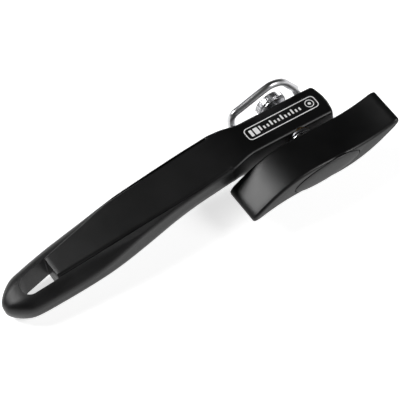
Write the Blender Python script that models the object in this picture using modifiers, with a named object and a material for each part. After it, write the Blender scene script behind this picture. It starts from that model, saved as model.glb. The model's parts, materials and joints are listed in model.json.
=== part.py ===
"""Manual can opener: a long handle, a winged turning knob, a toothed feed wheel and a cutting wheel.

Lengths are in millimetres and angles in degrees until they are placed in the scene, which is in metres.
The design frame has its origin on the spindle's axis at the middle of the head's width: +X runs along
the handle towards the head's tip, +Y points from the knob to the wheels, and +Z points up through the
head's flat top. One empty stands the design frame on the ground, with the opener lying at rest.
"""
import math

import bmesh
import bpy
from mathutils import Matrix, Vector

MM = 0.001

# How the opener lies at rest
REST_TILT = 5.0                  # the handle rises this much towards the head
SHAFT_PLACE = (65.16, 9.365, 22.6)

# Head
HEAD_FRONT = -11.0
HEAD_BACK = 9.0
HEAD_TIP = 24.4
HEAD_EDGE = 2.0                  # rounding of the tip's edges
HEAD_BOW = 1.5                   # how far the tip bulges in plan
LABEL_HEIGHT = 8.0               # top face above the spindle's axis
LABEL_SLOPE = 10.0               # the top face falls towards the tip
NECK = -42.0                     # where the core leaves the grip

# Handle
SLOT_END = -146.0                # the core's cut end, and the flat end of the hanging slot
SLOT_LENGTH = 18.8
SLOT_FRONT = -9.2
SLOT_BACK = 5.2
TAIL = -176.8
TAIL_ROUND = 12.0
CORE_BOTTOM = 0.0
CORE_PROUD = 1.0                 # the core stands this far above the grip
MOULD_GAP = 0.3

# Drive train
SPINDLE_RADIUS = 2.5
ECCENTRICITY = 1.0
ECCENTRIC_RADIUS = 4.8
LINER_RADIUS = 5.7
RUNNING_GAP = 0.06
FEED_RADIUS = 8.6
FEED_TEETH = 44
TOOTH_DEPTH = 0.7
FEED_NEAR = 12.5
FEED_FAR = 16.5
CUTTER_PLACE = (2.0, -15.8)      # X and Z of the cutting wheel's axis
CUTTER_RADIUS = 7.0
CUTTER_NEAR = 13.6
CUTTER_FAR = 15.6

# Back plate and its screws, given as X and Z
PLATE_THICKNESS = 1.5
PLATE_CORNERS = ((-27.6, -5.0), (-27.6, 8.0), (20.4, 1.0), (20.4, -9.0), (11.5, -19.6), (-8.0, -19.6))
PLATE_ROUNDS = (3.0, 3.0, 3.0, 4.0, 5.0, 6.0)
PLATE_SCREWS = {"tip": (14.2, -8.6), "neck": (-18.5, -6.6), "upper": (-17.6, 2.4)}

# Wire guard
WIRE_RADIUS = 2.0
WIRE_PLANE = 14.5
WIRE_SEAT = 3.0                  # how far into the head the wire's ends reach, as a Y
WIRE_ROUTE = ((-24.4, -1.6), (-24.3, 7.4), (-22.3, 12.6), (-16.6, 14.2), (-3.0, 17.2), (2.6, 17.3),
              (8.6, 13.9), (12.6, 7.0), (15.0, 2.4), (15.8, -2.2))

# Knob
KNOB_FRONT = -36.4
KNOB_BACK = -13.7
KNOB_HALF_LENGTH = 46.4
KNOB_TILT = 5.0                  # of the wings' chord, about the spindle
KNOB_SWAY = 4.4                  # how far the wings' middle line leaves the chord
KNOB_SWAY_REACH = 49.0           # where the middle line would cross the chord again
KNOB_TIP_HALF = 2.2
KNOB_HUB_HALF = 7.9
KNOB_EDGE = 1.4
CAP_HALF_LENGTH = 20.3
CAP_HALF_WIDTH = 6.5
CAP_TILT = -3.0
CAP_DOME = 0.9
CAP_SEAT = -32.0                 # Y of the recess floor under the cap
INSERT_END = -26.0
INSERT_RADIUS = 6.4

ROUND_STEPS = 40
FINE_STEPS = 64


# ---------------------------------------------------------------- scene and materials

def clear_scene():
    for old in list(bpy.data.objects):
        bpy.data.objects.remove(old, do_unlink=True)


def new_collection(name):
    collection = bpy.data.collections.new(name)
    bpy.context.scene.collection.children.link(collection)
    return collection


def new_material(name, colour, roughness, metallic=0.0):
    made = bpy.data.materials.new(name)
    made.use_nodes = True
    shader = made.node_tree.nodes["Principled BSDF"]
    shader.inputs["Base Color"].default_value = (*colour, 1.0)
    shader.inputs["Roughness"].default_value = roughness
    shader.inputs["Metallic"].default_value = metallic
    made.diffuse_color = (*colour, 1.0)
    return made


# ---------------------------------------------------------------- numbers and outlines

def metres(point):
    return Vector(point) * MM


def spread(start, stop, spacing):
    """Evenly spaced values from start to stop, no further apart than spacing."""
    count = math.ceil((stop - start) / spacing)
    return [start + (stop - start) * i / count for i in range(count + 1)]


def curve_slopes(curve):
    """Slopes that keep the curve from overshooting its points."""
    rises = [(vb - va) / (xb - xa) for (xa, va), (xb, vb) in zip(curve, curve[1:])]
    inner = [2.0 * a * b / (a + b) if a * b > 0.0 else 0.0 for a, b in zip(rises, rises[1:])]
    slopes = [0.0] + inner + [0.0]
    if inner:
        slopes[0] = 1.5 * rises[0] - 0.5 * slopes[1]
    return slopes


def read_curve(curve, x):
    """The value at x on a smooth curve through (x, value) pairs."""
    if x <= curve[0][0]:
        return curve[0][1]
    slopes = curve_slopes(curve)
    for i, ((xa, va), (xb, vb)) in enumerate(zip(curve, curve[1:])):
        if x <= xb:
            t = (x - xa) / (xb - xa)
            values = va + (vb - va) * t * t * (3.0 - 2.0 * t)
            lean = slopes[i] * t * (1.0 - t) ** 2 - slopes[i + 1] * t * t * (1.0 - t)
            return values + (xb - xa) * lean
    return curve[-1][1]


def turn(point, degrees):
    """Turn an (x, z) point so that +X moves towards +Z."""
    c = math.cos(math.radians(degrees))
    s = math.sin(math.radians(degrees))
    return point[0] * c - point[1] * s, point[0] * s + point[1] * c


def circle(radius, steps, centre=(0.0, 0.0)):
    turns = [2.0 * math.pi * i / steps for i in range(steps)]
    return [(centre[0] + radius * math.cos(a), centre[1] + radius * math.sin(a)) for a in turns]


def rounded_outline(corners, radii, steps=4):
    """Replace the corners of a flat outline with arcs."""
    outline = []
    for i, (corner, radius) in enumerate(zip(corners, radii)):
        here = Vector(corner)
        back = (Vector(corners[i - 1]) - here).normalized()
        ahead = (Vector(corners[(i + 1) % len(corners)]) - here).normalized()
        half_angle = back.angle(ahead) / 2.0
        centre = here + (back + ahead).normalized() * (radius / math.sin(half_angle))
        reach = radius / math.tan(half_angle)
        first = (here + back * reach - centre).normalized()
        last = (here + ahead * reach - centre).normalized()
        for k in range(steps + 1):
            outline.append(tuple(centre + first.slerp(last, k / steps) * radius))
    return outline


# ---------------------------------------------------------------- object makers

def skin(name, rings):
    """Skin a stack of closed rings and cap its two ends."""
    shape = bmesh.new()
    rows = [[shape.verts.new(metres(point)) for point in ring] for ring in rings]
    count = len(rows[0])
    for near, far in zip(rows, rows[1:]):
        for i in range(count):
            j = (i + 1) % count
            shape.faces.new((near[i], near[j], far[j], far[i]))
    shape.faces.new(reversed(rows[0]))
    shape.faces.new(rows[-1])
    bmesh.ops.recalc_face_normals(shape, faces=shape.faces)
    mesh = bpy.data.meshes.new(name)
    shape.to_mesh(mesh)
    shape.free()
    return mesh


def place_mesh(mesh, collection, finish=None, centre=(0.0, 0.0)):
    """Put a mesh in the scene with its origin on the Y axis through centre."""
    origin = metres((centre[0], 0.0, centre[1]))
    mesh.transform(Matrix.Translation(-origin))
    made = bpy.data.objects.new(mesh.name, mesh)
    made.location = origin
    collection.objects.link(made)
    if finish:
        mesh.materials.append(finish)
    mesh.shade_smooth()
    mesh.set_sharp_from_angle(angle=math.radians(35.0))
    return made


def slab(name, outline, y_near, y_far, collection, finish=None, centre=(0.0, 0.0)):
    """A flat XZ outline given thickness along Y."""
    rings = [[(x, y, z) for x, z in outline] for y in (y_near, y_far)]
    return place_mesh(skin(name, rings), collection, finish, centre)


def turned(name, profile, centre, collection, finish=None, steps=ROUND_STEPS):
    """Turn a closed (radius, y) profile about the Y axis through centre."""
    mesh = bpy.data.meshes.new(name)
    shape = bmesh.new()
    verts = [shape.verts.new(metres((radius, 0.0, y))) for radius, y in profile]
    for near, far in zip(verts, verts[1:]):
        shape.edges.new((near, far))
    if profile[0][0] > 0.0:
        shape.edges.new((verts[-1], verts[0]))
    shape.to_mesh(mesh)
    shape.free()
    made = bpy.data.objects.new(name, mesh)
    collection.objects.link(made)
    made.rotation_euler = (math.radians(-90.0), 0.0, 0.0)
    made.location = metres((centre[0], 0.0, centre[1]))
    screw = made.modifiers.new("turn", "SCREW")
    screw.axis = "Z"
    screw.steps = steps
    screw.render_steps = steps
    screw.use_merge_vertices = True
    screw.merge_threshold = 0.00001
    screw.use_smooth_shade = True
    if finish:
        mesh.materials.append(finish)
    return made


def bar(name, radius, y_near, y_far, centre, collection, finish=None, steps=ROUND_STEPS):
    profile = [(0.0, y_far), (radius, y_far), (radius, y_near), (0.0, y_near)]
    return turned(name, profile, centre, collection, finish, steps)


def ring(name, bore, radius, y_near, y_far, centre, collection, finish=None, steps=ROUND_STEPS):
    profile = [(radius, y_far), (radius, y_near), (bore, y_near), (bore, y_far)]
    return turned(name, profile, centre, collection, finish, steps)


def cut(target, *cutters):
    for cutter in cutters:
        cutter.hide_render = True
        cutter.display_type = "WIRE"
        step = target.modifiers.new(cutter.name, "BOOLEAN")
        step.operation = "DIFFERENCE"
        step.solver = "EXACT"
        step.object = cutter


# ---------------------------------------------------------------- handle shapes

GRIP_FRONT_LINE = ((-177, -10.0), (-162, -15.4), (-124, -17.2), (-98, -15.4), (-73, -13.8), (-42, -13.3))
GRIP_BACK_LINE = ((-177, 3.0), (-162, 9.2), (-124, 13.2), (-98, 13.4), (-60, 13.1), (-42, 12.7))
GRIP_BOTTOM_LINE = ((-110, -8.8), (-60, -6.0))
GRIP_ROUND_LINE = ((-110, 9.0), (-60, 12.0))
BAND_LINE = ((-135, 1.0), (-95, 0.0))
CORE_FRONT_LINE = ((-147, -8.6), (-124, -9.6), (-98, -10.6), (-65, -12.0), (-42, -12.2))
CORE_BACK_LINE = ((-147, 4.6), (-124, 8.4), (-100, 11.9), (-60, 11.8), (-42, 11.4))
NECK_FRONT_LINE = ((-42, -13.3), (-26, HEAD_FRONT))
NECK_BACK_LINE = ((-42, 12.7), (-33, 12.2), (-27, HEAD_BACK))
HEAD_DROP_LINE = ((-40, 0.0), (-13, 1.0))


def rest_line(x):
    """Height of the ground below the opener, seen in the design frame."""
    tilt = math.radians(REST_TILT)
    return (-SHAFT_PLACE[2] - x * math.sin(tilt)) / math.cos(tilt)


def top_line(x):
    """The arched top: the label's slope and the handle's line, blended where they meet."""
    label = LABEL_HEIGHT - math.tan(math.radians(LABEL_SLOPE)) * x
    handle = 10.6 + 0.026 * (x - SLOT_END)
    softness = 0.8
    return min(label, handle) - softness * math.log1p(math.exp(-abs(label - handle) / softness))


def section(x, front, back, bottom, top, low_round, high_round, steps=5):
    """A section across the handle with rounded corners, each given as (width, height)."""
    corners = (
        (back, bottom, -1.0, 1.0, low_round, -90.0),
        (back, top, -1.0, -1.0, high_round, 0.0),
        (front, top, 1.0, -1.0, high_round, 90.0),
        (front, bottom, 1.0, 1.0, low_round, 180.0),
    )
    points = []
    for y, z, inward_y, inward_z, (wide, high), start in corners:
        for k in range(steps + 1):
            angle = math.radians(start + 90.0 * k / steps)
            across = y + wide * (inward_y + math.cos(angle))
            upward = z + high * (inward_z + math.sin(angle))
            points.append((x, across, upward))
    return points


def shrunk(points, factor):
    middle = sum((Vector(point) for point in points), Vector()) / len(points)
    return [tuple(middle + (Vector(point) - middle) * factor) for point in points]


def grip_section(x):
    front = read_curve(GRIP_FRONT_LINE, x)
    back = read_curve(GRIP_BACK_LINE, x)
    top = top_line(x) - CORE_PROUD
    half = (back - front) / 2.0
    band = read_curve(BAND_LINE, x)
    low_round = (half * 0.86, read_curve(GRIP_ROUND_LINE, x))
    high_round = (1.2 + (half * 0.7 - 1.2) * band, 2.2 + 4.3 * band)
    bottom = max(read_curve(GRIP_BOTTOM_LINE, x), rest_line(x))
    return section(x, front, back, bottom, top, low_round, high_round)


def core_section(x, gap=0.0, headroom=0.0):
    front = read_curve(CORE_FRONT_LINE, x) - gap
    back = read_curve(CORE_BACK_LINE, x) + gap
    return section(x, front, back, CORE_BOTTOM - gap, top_line(x) + headroom, (4.0, 6.0), (1.6, 1.2))


def head_section(x, inset=0.0):
    front = read_curve(NECK_FRONT_LINE, x) + inset
    back = read_curve(NECK_BACK_LINE, x) - inset
    drop = read_curve(HEAD_DROP_LINE, x)
    neck_bottom = read_curve(GRIP_BOTTOM_LINE, x)
    bottom = neck_bottom + (rest_line(x) - neck_bottom) * drop
    lift_start = 6.0
    lift = max(0.0, x - lift_start) / (HEAD_TIP - lift_start)
    bottom += 13.0 * (1.0 - math.sqrt(1.0 - 0.98 * lift * lift)) + inset
    low_round = (11.0 - 8.6 * drop, 11.5 - 9.1 * drop)
    high_round = (1.8, 1.4)
    bow = HEAD_BOW * max(0.0, 1.0 - (HEAD_TIP - x) / 8.0)
    half = (back - front) / 2.0
    points = section(x, front, back, bottom, top_line(x) - inset, low_round, high_round)
    return [(px - bow * ((py - front - half) / half) ** 2, py, pz) for px, py, pz in points]


def make_grip(parts, cutters, finish):
    rings = []
    for angle in spread(math.radians(14.0), math.radians(90.0), math.radians(13.0)):
        x = TAIL + TAIL_ROUND * (1.0 - math.cos(angle))
        rings.append(shrunk(grip_section(x), math.sin(angle) ** 0.7))
    rings += [grip_section(x) for x in spread(TAIL + TAIL_ROUND + 2.0, NECK, 9.0)]
    grip = place_mesh(skin("handle_grip", rings), parts, finish)

    overrun = 1.0
    channel_rings = [core_section(x, MOULD_GAP, 8.0) for x in spread(SLOT_END - overrun, NECK + overrun, 13.0)]
    channel = place_mesh(skin("channel_cutter", channel_rings), cutters)

    nose = SLOT_END - SLOT_LENGTH
    corners = ((SLOT_END, SLOT_FRONT), (SLOT_END, SLOT_BACK), (nose, SLOT_BACK - 3.0), (nose, SLOT_FRONT + 0.6))
    outline = rounded_outline(corners, (0.4, 0.4, 6.0, 5.0), 6)
    slot_rings = [[(x, y, z) for x, y in outline] for z in (-20.0, 20.0)]
    slot = place_mesh(skin("slot_cutter", slot_rings), cutters)
    cut(grip, channel, slot)
    return grip


def make_core(parts, cutters, finish, pivots):
    rings = [core_section(x) for x in spread(SLOT_END, NECK + 0.5 * MOULD_GAP, 13.0)]
    rings += [head_section(x) for x in spread(NECK + MOULD_GAP, -13.0, 4.2)]
    rings += [head_section(x) for x in spread(-4.0, HEAD_TIP - HEAD_EDGE - 1.0, 3.5)]
    for angle in (0.0, 35.0, 65.0, 90.0):
        inset = HEAD_EDGE * (1.0 - math.cos(math.radians(angle)))
        x = HEAD_TIP - HEAD_EDGE * (1.0 - math.sin(math.radians(angle)))
        rings.append(head_section(x, inset))
    core = place_mesh(skin("handle_core", rings), parts, finish)

    pocket_floor = HEAD_BACK - PLATE_THICKNESS - 0.05
    pocket = slab("pocket_cutter", plate_outline(-0.2), pocket_floor, HEAD_BACK + 2.0, cutters)
    bore = bar("liner_cutter", LINER_RADIUS + 0.05, HEAD_FRONT - 2.0, HEAD_BACK + 1.0, pivots["eccentric"], cutters)
    rim = bar("rim_cutter", LINER_RADIUS + 1.1, HEAD_FRONT - 2.0, HEAD_FRONT + 1.05, pivots["eccentric"], cutters)
    nut_well = bar("nut_cutter", 4.1, 3.4, HEAD_BACK + 1.0, CUTTER_PLACE, cutters)
    cut(core, pocket, bore, rim, nut_well)
    for place, centre in PLATE_SCREWS.items():
        cut(core, bar("pilot_cutter_" + place, 1.55, -1.2, HEAD_BACK + 1.0, centre, cutters, steps=16))
    for end, centre in (("neck", WIRE_ROUTE[0]), ("tip", WIRE_ROUTE[-1])):
        cut(core, bar("wire_cutter_" + end, WIRE_RADIUS + 0.1, WIRE_SEAT - 0.4, HEAD_BACK + 1.0, centre, cutters,
                      steps=20))
    return core


# ---------------------------------------------------------------- plate, screws and wire

def plate_outline(inset):
    corners = [Vector(corner) for corner in PLATE_CORNERS]
    middle = sum(corners, Vector((0.0, 0.0))) / len(corners)
    moved = []
    for corner in corners:
        outward = (corner - middle).normalized()
        moved.append(tuple(corner - outward * inset * 1.3))
    return rounded_outline(moved, PLATE_ROUNDS)


def make_plate(parts, cutters, finish, pivots):
    near = HEAD_BACK - PLATE_THICKNESS
    plate = slab("back_plate", plate_outline(0.0), near, HEAD_BACK, parts, finish)
    holes = {
        "eccentric": (pivots["eccentric"], ECCENTRIC_RADIUS + RUNNING_GAP),
        "cutter": (CUTTER_PLACE, SPINDLE_RADIUS + 0.1),
        "wire_neck": (WIRE_ROUTE[0], WIRE_RADIUS + 0.1),
        "wire_tip": (WIRE_ROUTE[-1], WIRE_RADIUS + 0.1),
    }
    for use, (centre, radius) in holes.items():
        cut(plate, bar("plate_hole_" + use, radius, near - 1.0, HEAD_BACK + 1.0, centre, cutters))
    for place, centre in PLATE_SCREWS.items():
        sink = [(0.0, HEAD_BACK + 1.0), (4.35, HEAD_BACK + 1.0), (1.6, near), (1.6, near - 2.0), (0.0, near - 2.0)]
        cut(plate, turned("screw_sink_" + place, sink, centre, cutters, steps=24))
    return plate


def make_plate_screw(place, centre, parts, cutters, finish):
    head = HEAD_BACK - 0.1
    profile = [(0.0, head), (2.75, head), (2.75, head - 0.25), (1.4, head - 1.4), (1.4, 0.6), (0.9, 0.0), (0.0, 0.0)]
    screw = turned("plate_screw_" + place, profile, centre, parts, finish, steps=24)
    for direction, turned_by in (("a", 20.0), ("b", 110.0)):
        blade = [(-1.5, -0.3), (1.5, -0.3), (1.5, 0.3), (-1.5, 0.3)]
        outline = [tuple(Vector(turn(point, turned_by)) + Vector(centre)) for point in blade]
        cut(screw, slab("recess_" + place + direction, outline, head - 0.9, head + 1.0, cutters))
    return screw


def wire_path():
    """The wire's middle line: in through the plate, up, over the feed wheel and back."""
    start = (WIRE_ROUTE[0][0], WIRE_SEAT, WIRE_ROUTE[0][1])
    end = (WIRE_ROUTE[-1][0], WIRE_SEAT, WIRE_ROUTE[-1][1])
    corner = 3.4
    path = [start]
    for k in range(5):
        angle = math.radians(90.0 * k / 4)
        y = WIRE_PLANE - corner * (1.0 - math.sin(angle))
        z = WIRE_ROUTE[0][1] + corner * (1.0 - math.cos(angle))
        path.append((start[0], y, z))
    inner = [Vector((x, WIRE_PLANE, z)) for x, z in WIRE_ROUTE]
    for i in range(1, len(inner) - 2):
        before, here, after, beyond = inner[i - 1:i + 3]
        for k in range(4):
            path.append(tuple(catmull(before, here, after, beyond, k / 4)))
    path.append(tuple(inner[-2]))
    for k in range(5):
        angle = math.radians(90.0 * k / 4)
        y = WIRE_PLANE - corner * (1.0 - math.cos(angle))
        z = WIRE_ROUTE[-1][1] + corner * (1.0 - math.sin(angle))
        path.append((end[0], y, z))
    path.append(end)
    return path


def catmull(before, here, after, beyond, t):
    """A point between here and after on a smooth curve through all four."""
    rise = (after - before) * 0.5
    fall = (beyond - here) * 0.5
    bend = (here - after) * 2.0 + rise + fall
    swell = (after - here) * 3.0 - rise * 2.0 - fall
    return here + rise * t + swell * t * t + bend * t ** 3


def make_wire(parts, finish):
    curve = bpy.data.curves.new("wire_guard", "CURVE")
    curve.dimensions = "3D"
    curve.bevel_depth = WIRE_RADIUS * MM
    curve.bevel_resolution = 3
    curve.use_fill_caps = True
    path = wire_path()
    spline = curve.splines.new("POLY")
    spline.points.add(len(path) - 1)
    for point, place in zip(spline.points, path):
        point.co = (*metres(place), 1.0)
    curve.materials.append(finish)
    wire = bpy.data.objects.new("wire_guard", curve)
    parts.objects.link(wire)
    return wire


# ---------------------------------------------------------------- drive train

def make_bearings(parts, cutters, brass, steel, pivots):
    """The liner fixed in the head and the eccentric bush that turns in it."""
    pivot = pivots["eccentric"]
    bore = ECCENTRIC_RADIUS + RUNNING_GAP
    face = HEAD_FRONT + 0.05
    liner_profile = [(LINER_RADIUS, 7.3), (LINER_RADIUS, face + 0.95), (LINER_RADIUS + 1.0, face + 0.95),
                     (LINER_RADIUS + 1.0, face), (bore, face), (bore, 7.3)]
    liner = turned("head_liner", liner_profile, pivot, parts, brass, FINE_STEPS)

    flange = LINER_RADIUS + 0.9
    bush_profile = [(0.0, 10.2), (ECCENTRIC_RADIUS, 10.2), (ECCENTRIC_RADIUS, face - 0.1), (flange, face - 0.1),
                    (flange, face - 1.0), (0.0, face - 1.0)]
    bush = turned("eccentric_bush", bush_profile, pivot, parts, steel, FINE_STEPS)
    offset_bore = bar("spindle_cutter", SPINDLE_RADIUS + RUNNING_GAP, -20.0, 20.0, (0.0, 0.0), cutters, steps=FINE_STEPS)
    cut(bush, offset_bore)
    return liner, bush


def make_spindle(parts, cutters, finish):
    wheel_seat = 2.1
    profile = [(0.0, FEED_FAR - 0.1), (wheel_seat, FEED_FAR - 0.1), (wheel_seat, 10.35), (SPINDLE_RADIUS, 10.35),
               (SPINDLE_RADIUS, -12.3), (2.2, -12.3), (2.2, -25.6), (0.0, -25.6)]
    spindle = turned("drive_spindle", profile, (0.0, 0.0), parts, finish, FINE_STEPS)
    cut(spindle,
        bar("feed_screw_cutter", 1.35, 9.0, 30.0, (0.0, 0.0), cutters, steps=24),
        bar("knob_screw_cutter", 1.35, -40.0, -16.5, (0.0, 0.0), cutters, steps=24))
    for side, sign in (("upper", 1.0), ("lower", -1.0)):
        flat = [(-4.0, 1.75 * sign), (4.0, 1.75 * sign), (4.0, 4.0 * sign), (-4.0, 4.0 * sign)]
        cut(spindle, slab("knob_flat_" + side, flat, -40.0, -13.4, cutters))
    return spindle


def feed_outline():
    points = []
    for i in range(FEED_TEETH):
        base = 2.0 * math.pi * i / FEED_TEETH
        pitch = 2.0 * math.pi / FEED_TEETH
        for part, radius in ((0.0, FEED_RADIUS - TOOTH_DEPTH), (0.36, FEED_RADIUS), (0.64, FEED_RADIUS)):
            angle = base + part * pitch
            points.append((radius * math.cos(angle), radius * math.sin(angle)))
    return points


def make_feed_wheel(parts, cutters, finish):
    wheel = slab("feed_wheel", feed_outline(), FEED_NEAR, FEED_FAR, parts, finish)
    cut(wheel, bar("feed_bore_cutter", 2.15, 0.0, 30.0, (0.0, 0.0), cutters))
    return wheel


def make_feed_fittings(parts, steel):
    spacer_profile = [(7.5, FEED_NEAR - 0.05), (7.5, FEED_NEAR - 0.9), (4.6, FEED_NEAR - 1.2), (4.6, 10.45),
                      (2.15, 10.45), (2.15, FEED_NEAR - 0.05)]
    spacer = turned("feed_spacer", spacer_profile, (0.0, 0.0), parts, steel)
    head = FEED_FAR + 0.05
    screw_profile = [(0.0, head + 2.0), (2.6, head + 1.7), (4.0, head + 0.8), (4.0, head), (1.3, head), (1.3, 9.4),
                     (0.0, 9.4)]
    screw = turned("feed_screw", screw_profile, (0.0, 0.0), parts, steel, 32)
    return spacer, screw


def make_friction_washers(parts, spring_steel, bright_steel):
    """A sprung disc and a flat thrust washer between the head and the knob."""
    bore = SPINDLE_RADIUS + 0.15
    disc_profile = [(6.2, -12.25), (6.2, -12.5), (bore, -12.75), (bore, -12.5)]
    disc = turned("disc_spring", disc_profile, (0.0, 0.0), parts, spring_steel)
    washer = ring("thrust_washer", bore, 7.6, -13.6, -12.8, (0.0, 0.0), parts, bright_steel)
    return disc, washer


# ---------------------------------------------------------------- knob

def knob_middle(s):
    return -KNOB_SWAY * math.sin(math.pi * s / KNOB_SWAY_REACH)


def knob_half(s):
    swell = max(0.0, math.cos(math.pi * s / (2.0 * KNOB_HALF_LENGTH))) ** 1.2
    past = max(0.0, abs(s) - KNOB_HALF_LENGTH + 2.0) / 2.0
    return (KNOB_TIP_HALF + (KNOB_HUB_HALF - KNOB_TIP_HALF) * swell) * math.sqrt(1.0 - 0.75 * past * past)


def knob_outline(inset=0.0):
    """The S-shaped outline of the two wings, the same when turned half a turn."""
    reach = KNOB_HALF_LENGTH - inset
    along = [reach * math.sin(math.radians(a)) for a in spread(-90.0, 90.0, 9.0)]
    upper = [(s, knob_middle(s) + knob_half(s) - inset) for s in along]
    lower = [(s, knob_middle(s) - knob_half(s) + inset) for s in reversed(along)]
    return [turn(point, KNOB_TILT) for point in upper + lower]


def cap_outline(inset=0.0):
    points = [((CAP_HALF_LENGTH - inset) * x, (CAP_HALF_WIDTH - inset) * z) for x, z in circle(1.0, 36)]
    return [turn(point, CAP_TILT) for point in points]


def lifted(outline, y):
    return [(x, y, z) for x, z in outline]


def make_knob_body(parts, cutters, finish):
    edge = KNOB_EDGE
    levels = ((KNOB_BACK, edge * 0.8), (KNOB_BACK - edge * 0.4, edge * 0.25), (KNOB_BACK - edge, 0.0),
              (KNOB_FRONT + edge, 0.0), (KNOB_FRONT + edge * 0.4, edge * 0.25), (KNOB_FRONT, edge * 0.8))
    rings = [lifted(knob_outline(inset), y) for y, inset in levels]
    body = place_mesh(skin("knob_body", rings), parts, finish)

    recess = slab("cap_cutter", cap_outline(-MOULD_GAP), KNOB_FRONT - 5.0, CAP_SEAT, cutters)
    insert_well = slab("insert_cutter", circle(INSERT_RADIUS + 0.1, 6), INSERT_END - 0.1, KNOB_BACK + 5.0, cutters)
    screw_way = bar("screw_way_cutter", 2.0, CAP_SEAT - 5.0, INSERT_END + 1.0, (0.0, 0.0), cutters, steps=24)
    cut(body, recess, insert_well, screw_way)
    return body


def make_knob_insert(parts, cutters, finish):
    insert = slab("knob_insert", circle(INSERT_RADIUS, 6), INSERT_END, KNOB_BACK - 0.1, parts, finish)
    socket = bar("socket_cutter", 2.3, -40.0, 0.0, (0.0, 0.0), cutters)
    cut(insert, socket)
    return insert


def make_knob_fixings(parts, steel):
    seat = CAP_SEAT + 0.05
    washer = ring("knob_screw_washer", 1.6, 4.6, CAP_SEAT - 0.85, CAP_SEAT - 0.05, (0.0, 0.0), parts, steel, 32)
    under = CAP_SEAT - 0.9
    profile = [(0.0, -17.0), (1.3, -17.0), (1.3, under), (3.4, under), (3.4, under - 0.9), (2.2, under - 1.7),
               (0.0, under - 1.9)]
    screw = turned("knob_screw", profile, (0.0, 0.0), parts, steel, 32)
    return washer, screw, seat


def make_knob_cap(parts, cutters, finish):
    """An oval domed cap pressed into the knob's outer face."""
    rim = KNOB_FRONT + 0.3
    rings = [lifted(cap_outline(0.0), CAP_SEAT - 0.1), lifted(cap_outline(0.0), rim)]
    for angle in (20.0, 42.0, 62.0, 78.0):
        rise = 0.3 + CAP_DOME * math.sin(math.radians(angle))
        scale = math.cos(math.radians(angle)) ** 0.7
        outline = [(x * scale, z * scale) for x, z in cap_outline(0.0)]
        rings.append(lifted(outline, rim - rise))
    cap = place_mesh(skin("knob_cap", rings), parts, finish)
    hollow = slab("cap_hollow_cutter", [(x * 0.86, z * 0.76) for x, z in cap_outline(0.0)], KNOB_FRONT - 0.4,
                  CAP_SEAT + 5.0, cutters)
    cut(cap, hollow)
    return cap


# ---------------------------------------------------------------- cutter

def make_cutter(parts, cutters, blade_steel, brass, steel):
    bearing_radius = 3.3
    middle = (CUTTER_NEAR + CUTTER_FAR) / 2.0
    blade_profile = [(CUTTER_RADIUS, middle + 0.75), (CUTTER_RADIUS - 0.1, middle + 0.6), (4.6, CUTTER_NEAR),
                     (bearing_radius + 0.05, CUTTER_NEAR), (bearing_radius + 0.05, CUTTER_FAR), (5.6, CUTTER_FAR)]
    blade = turned("cutter_wheel", blade_profile, CUTTER_PLACE, parts, blade_steel, 48)
    bearing = ring("cutter_bearing", SPINDLE_RADIUS + RUNNING_GAP, bearing_radius, CUTTER_NEAR - 0.2,
                   CUTTER_FAR + 0.2, CUTTER_PLACE, parts, brass, 48)
    spacer = ring("cutter_spacer", SPINDLE_RADIUS + RUNNING_GAP, 4.4, HEAD_BACK + 0.05, CUTTER_NEAR - 0.3,
                  CUTTER_PLACE, parts, steel, 32)
    head = CUTTER_FAR + 0.3
    screw_profile = [(0.0, head + 1.8), (3.0, head + 1.8), (3.9, head + 1.1), (3.9, head), (SPINDLE_RADIUS, head),
                     (SPINDLE_RADIUS, HEAD_BACK + 0.02), (1.6, HEAD_BACK - 0.3), (1.6, 3.6), (0.0, 3.6)]
    axle = turned("cutter_axle_screw", screw_profile, CUTTER_PLACE, parts, steel, 48)
    nut = slab("cutter_nut", circle(3.6, 6, CUTTER_PLACE), 4.2, HEAD_BACK - PLATE_THICKNESS - 0.1, parts, steel,
               CUTTER_PLACE)
    cut(nut, bar("nut_bore_cutter", 1.65, 0.0, 20.0, CUTTER_PLACE, cutters, steps=24))
    return blade, bearing, spacer, axle, nut


# ---------------------------------------------------------------- assembly

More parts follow.
